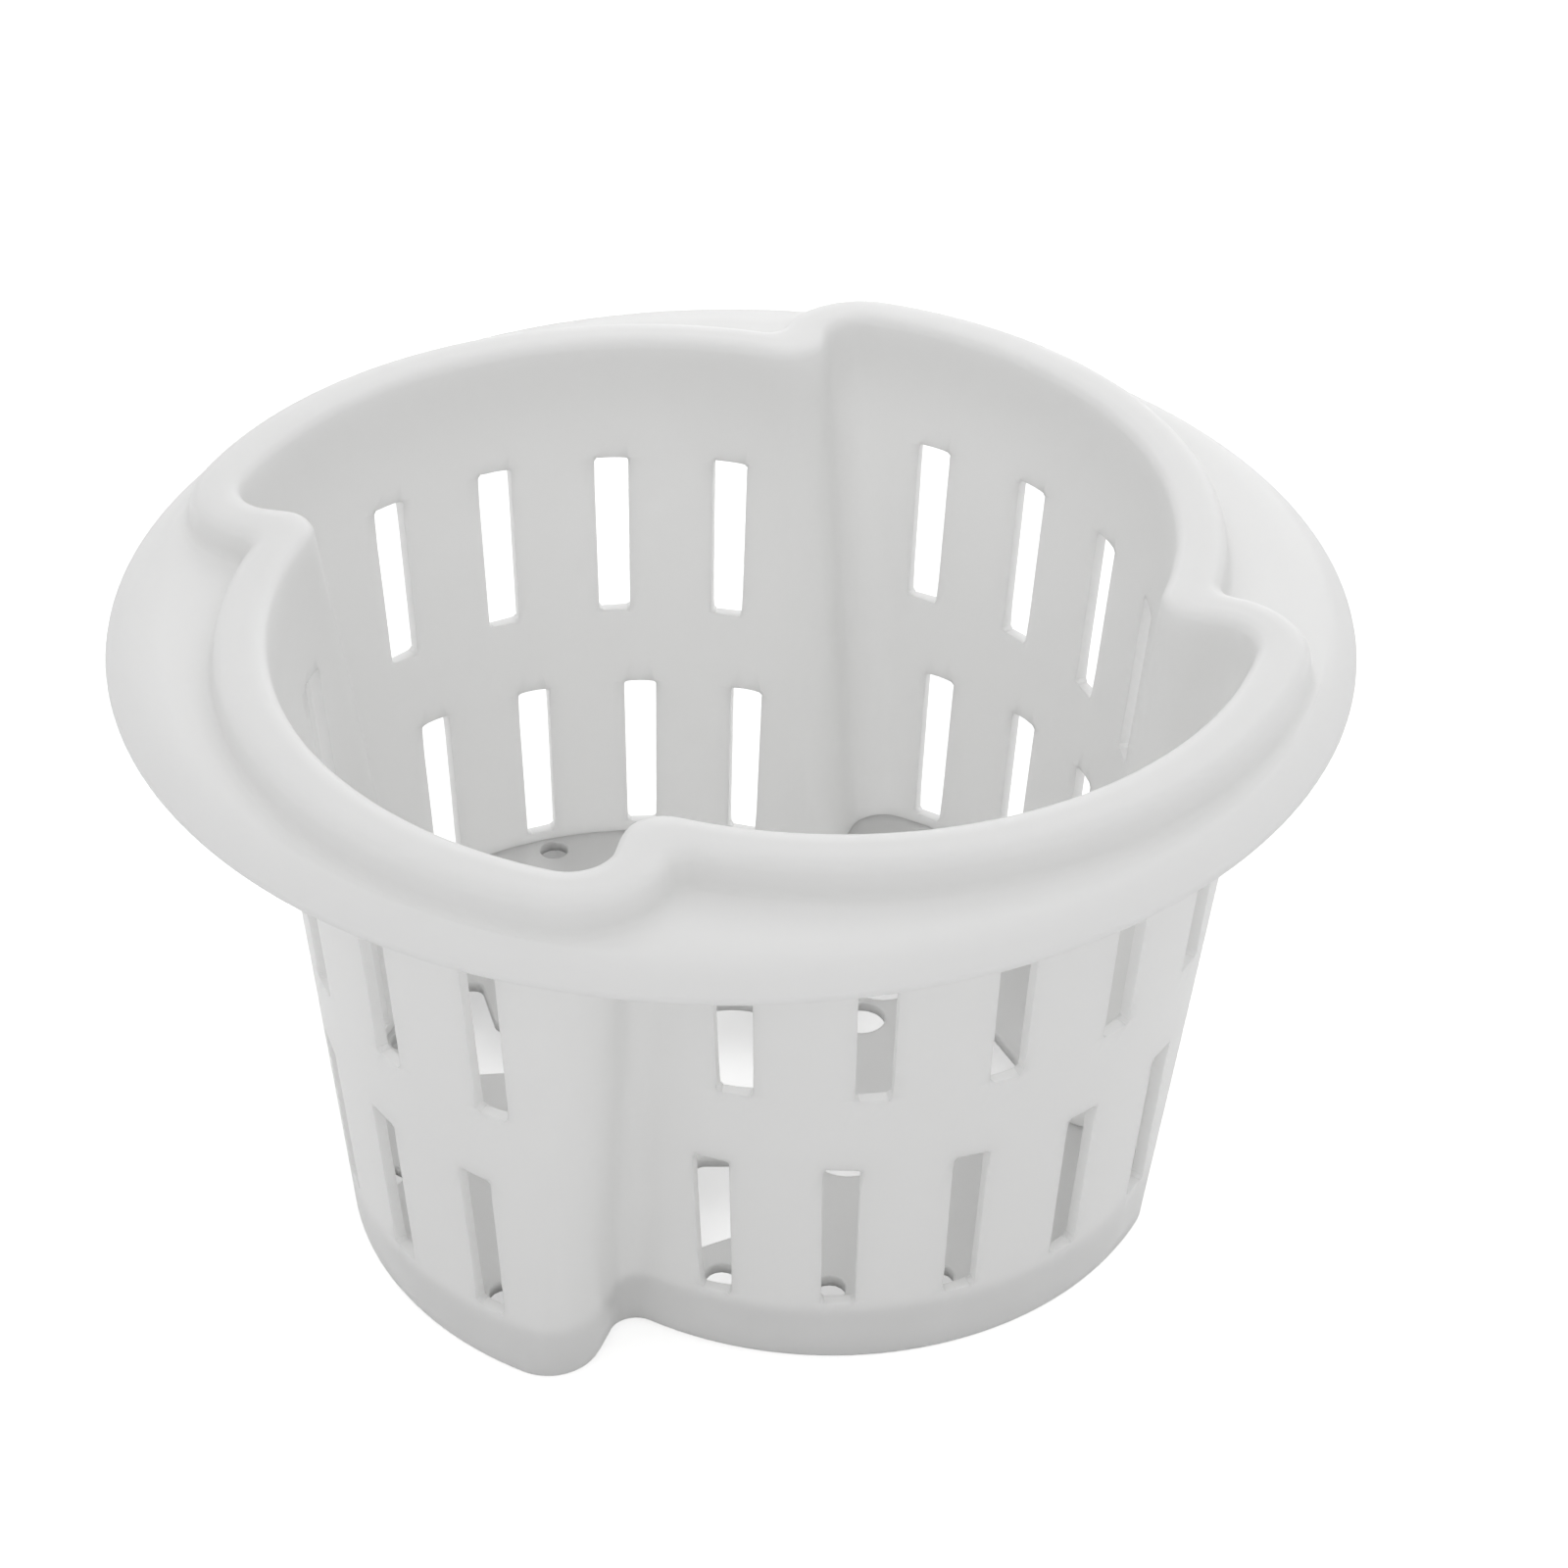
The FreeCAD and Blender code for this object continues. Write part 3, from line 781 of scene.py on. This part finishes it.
def frosted_plastic(finish):
    """Natural translucent plastic: milky body, soft moulded sheen and a fine frost."""
    material = bpy.data.materials.new("frosted_plastic")
    material.use_nodes = True
    nodes = material.node_tree.nodes
    link = material.node_tree.links.new
    shader = nodes["Principled BSDF"]
    place = nodes.new("ShaderNodeTexCoord")
    cloud = add_noise(nodes, CLOUD_SCALE, CLOUD_DETAIL)
    tone = nodes.new("ShaderNodeValToRGB")
    dark, light = tone.color_ramp.elements
    dark.position = CLOUD_LOW
    light.position = CLOUD_HIGH
    dark.color = (*[channel * CLOUD_SHADE for channel in finish.colour], 1)
    light.color = (*finish.colour, 1)
    frost = add_noise(nodes, FROST_SCALE, FROST_DETAIL)
    bump = nodes.new("ShaderNodeBump")
    bump.inputs["Strength"].default_value = FROST_STRENGTH
    bump.inputs["Distance"].default_value = FROST_DEPTH
    link(place.outputs["Object"], cloud.inputs["Vector"])
    link(place.outputs["Object"], frost.inputs["Vector"])
    link(cloud.outputs["Fac"], tone.inputs["Fac"])
    link(tone.outputs["Color"], shader.inputs["Base Color"])
    link(frost.outputs["Fac"], bump.inputs["Height"])
    link(bump.outputs["Normal"], shader.inputs["Normal"])
    shader.inputs["Roughness"].default_value = finish.roughness
    shader.inputs["IOR"].default_value = REFRACTION
    shader.inputs["Alpha"].default_value = 1 - finish.see_through
    shader.inputs["Subsurface Weight"].default_value = 1.0
    shader.inputs["Subsurface Radius"].default_value = (1, 1, 1)
    shader.inputs["Subsurface Scale"].default_value = SCATTER_DEPTH
    return material


class NETPOT_OT_moulding(bpy.types.Operator):
    """Build the moulding: pinwheel wall, slots, collar, flange and pierced floor"""

    bl_idname = "netpot.moulding"
    bl_label = "Build the net pot"

    def execute(self, context):
        """Lay out a quarter, turn it round the axis, add the floor and the plastic."""
        material = frosted_plastic(context.scene.net_pot_finish)
        quarter = bpy.data.objects.new("quarter", quarter_mesh())
        context.scene.collection.objects.link(quarter)
        repeat = quarter.modifiers.new("Repeat", "NODES")
        repeat.node_group = repeat_tree()
        set_inputs(repeat, {"Lobes": LOBES, "Seam": SEAM_WIDTH, "Material": material})
        soften = quarter.modifiers.new("Soften", "BEVEL")
        soften.width = sizes("slots").edge
        soften.segments = 2
        soften.limit_method = "WEIGHT"
        soften.harden_normals = True
        pot = plain_mesh(quarter, "net_pot_wall")
        plate = floor_plate("net_pot_floor")
        plate.data.materials.clear()
        plate.data.materials.append(material)
        for piece in (pot, plate):
            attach(piece, BODY)
            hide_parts(NODE)
        return {"FINISHED"}


def add_node(nodes, operation, first, second, link):
    """Math node on a socket and a second socket or number; gives its output."""
    node = nodes.new("ShaderNodeMath")
    node.operation = operation
    link(first, node.inputs[0])
    if isinstance(second, float):
        node.inputs[1].default_value = second
    else:
        link(second, node.inputs[1])
    return node.outputs[0]


def seen_rays(nodes, link):
    """Socket that is 1 for rays that see a thing directly, in a gloss or through plastic."""
    rays = nodes.new("ShaderNodeLightPath")
    camera = rays.outputs["Is Camera Ray"]
    seen = add_node(nodes, "MAXIMUM", camera, rays.outputs["Is Glossy Ray"], link)
    return add_node(nodes, "MAXIMUM", seen, rays.outputs["Is Transmission Ray"], link)


def shown_white(material, colour):
    """Make a stage material show as white behind the object and keep its shadow."""
    material.use_nodes = True
    nodes = material.node_tree.nodes
    link = material.node_tree.links.new
    shader = nodes["Principled BSDF"]
    shader.inputs["Base Color"].default_value = (*colour, 1)
    shader.inputs["Roughness"].default_value = FLOOR_ROUGHNESS
    shader.inputs["Specular IOR Level"].default_value = 0.0
    shader.inputs["Emission Color"].default_value = (1, 1, 1, 1)
    lift = add_node(nodes, "MULTIPLY", seen_rays(nodes, link), FLOOR_LIFT, link)
    link(lift, shader.inputs["Emission Strength"])


class NETPOT_OT_stage(bpy.types.Operator):
    """Set up the floor, the even light, the two lamps and the camera"""

    bl_idname = "netpot.stage"
    bl_label = "Build the stage"

    def execute(self, context):
        """Add each part of the stage."""
        scene = context.scene
        stage = scene.net_pot_stage
        self.add_floor(scene, stage)
        self.add_surround(scene, stage)
        self.add_lamp(scene, "overhead", OVERHEAD_PLACE, OVERHEAD_WIDTH, stage.key_power)
        self.add_lamp(scene, "behind", BEHIND_PLACE, BEHIND_WIDTH, stage.back_power)
        self.add_camera(scene, stage)
        scene.view_settings.view_transform = "Standard"
        return {"FINISHED"}

    def add_floor(self, scene, stage):
        """Plain pale floor under the pot."""
        mesh = bpy.data.meshes.new("floor")
        shape = bmesh.new()
        bmesh.ops.create_grid(shape, x_segments=1, y_segments=1, size=FLOOR_HALF)
        shape.to_mesh(mesh)
        shape.free()
        floor = bpy.data.objects.new("stage_floor", mesh)
        material = bpy.data.materials.new("stage_floor")
        shown_white(material, stage.floor_colour)
        mesh.materials.append(material)
        scene.collection.objects.link(floor)

    def add_surround(self, scene, stage):
        """Even light from all round, white where the camera sees it."""
        world = bpy.data.worlds.new("surround")
        scene.world = world
        world.use_nodes = True
        nodes = world.node_tree.nodes
        link = world.node_tree.links.new
        nodes["Background"].inputs["Color"].default_value = (1, 1, 1, 1)
        lift = add_node(nodes, "MULTIPLY", seen_rays(nodes, link), 1.0 - stage.sky, link)
        total = add_node(nodes, "ADD", lift, stage.sky, link)
        link(total, nodes["Background"].inputs["Strength"])

    def add_lamp(self, scene, name, place, size, power):
        """Large soft round lamp that faces the pot."""
        light = bpy.data.lights.new(name, "AREA")
        light.shape = "DISK"
        light.size = size
        light.energy = power
        lamp = bpy.data.objects.new(name, light)
        lamp.location = place
        facing = Vector((0, 0, HIGH[2] / 2)) - lamp.location
        lamp.rotation_euler = facing.to_track_quat("-Z", "Y").to_euler()
        scene.collection.objects.link(lamp)

    def add_camera(self, scene, stage):
        """Camera that looks down into the pot."""
        data = bpy.data.cameras.new("camera")
        data.sensor_width = SENSOR_WIDTH
        data.lens = stage.lens
        data.shift_x = stage.shift_x
        data.shift_y = stage.shift_y
        data.clip_start = NEAR_CLIP
        camera = bpy.data.objects.new("camera", data)
        right = Vector((1, 0, 0))
        ahead = Vector((0, math.cos(stage.pitch), -math.sin(stage.pitch)))
        down = ahead.cross(right)
        look = Matrix((right, down, ahead))
        swing = Matrix.Rotation(-stage.yaw, 3, "Y").transposed()
        lean = Matrix.Rotation(stage.roll, 3, "Z")
        look = lean @ swing @ look
        axes = Matrix((look[0], -look[1], -look[2])).transposed()
        place = Matrix.Translation((0, -stage.camera_back, stage.camera_up))
        camera.matrix_world = place @ axes.to_4x4()
        scene.collection.objects.link(camera)
        scene.camera = camera


class NETPOT_PT_panel(bpy.types.Panel):
    """Sidebar panel of the net pot"""

    bl_idname = "NETPOT_PT_panel"
    bl_label = "Net pot"
    bl_space_type = "VIEW_3D"
    bl_region_type = "UI"
    bl_category = "Net pot"

    def draw(self, context):
        """List the operators and the sizes."""
        for operator in (NETPOT_OT_moulding, NETPOT_OT_stage):
            self.layout.operator(operator.bl_idname)
        for name, kind in GROUPS.items():
            box = self.layout.box()
            for key in kind.__annotations__:
                box.prop(getattr(context.scene, name), key)


GROUPS = {
    "net_pot_wall": WallSizes,
    "net_pot_rim": RimSizes,
    "net_pot_slots": SlotSizes,
    "net_pot_floor": FloorSizes,
    "net_pot_finish": Finish,
    "net_pot_stage": Stage,
}
CLASSES = (*GROUPS.values(), NETPOT_OT_moulding, NETPOT_OT_stage, NETPOT_PT_panel)


def register():
    """Register the classes and hang the settings on the scene."""
    for kind in CLASSES:
        bpy.utils.register_class(kind)
    for name, kind in GROUPS.items():
        setattr(bpy.types.Scene, name, bpy.props.PointerProperty(type=kind))


def unregister():
    """Take the settings and the classes away again."""
    for name in GROUPS:
        delattr(bpy.types.Scene, name)
    for kind in reversed(CLASSES):
        bpy.utils.unregister_class(kind)


def main():
    """Register the add-on and build everything in order."""
    register()
    bpy.ops.netpot.moulding()
    bpy.ops.netpot.stage()


if __name__ == "__main__":
    main()
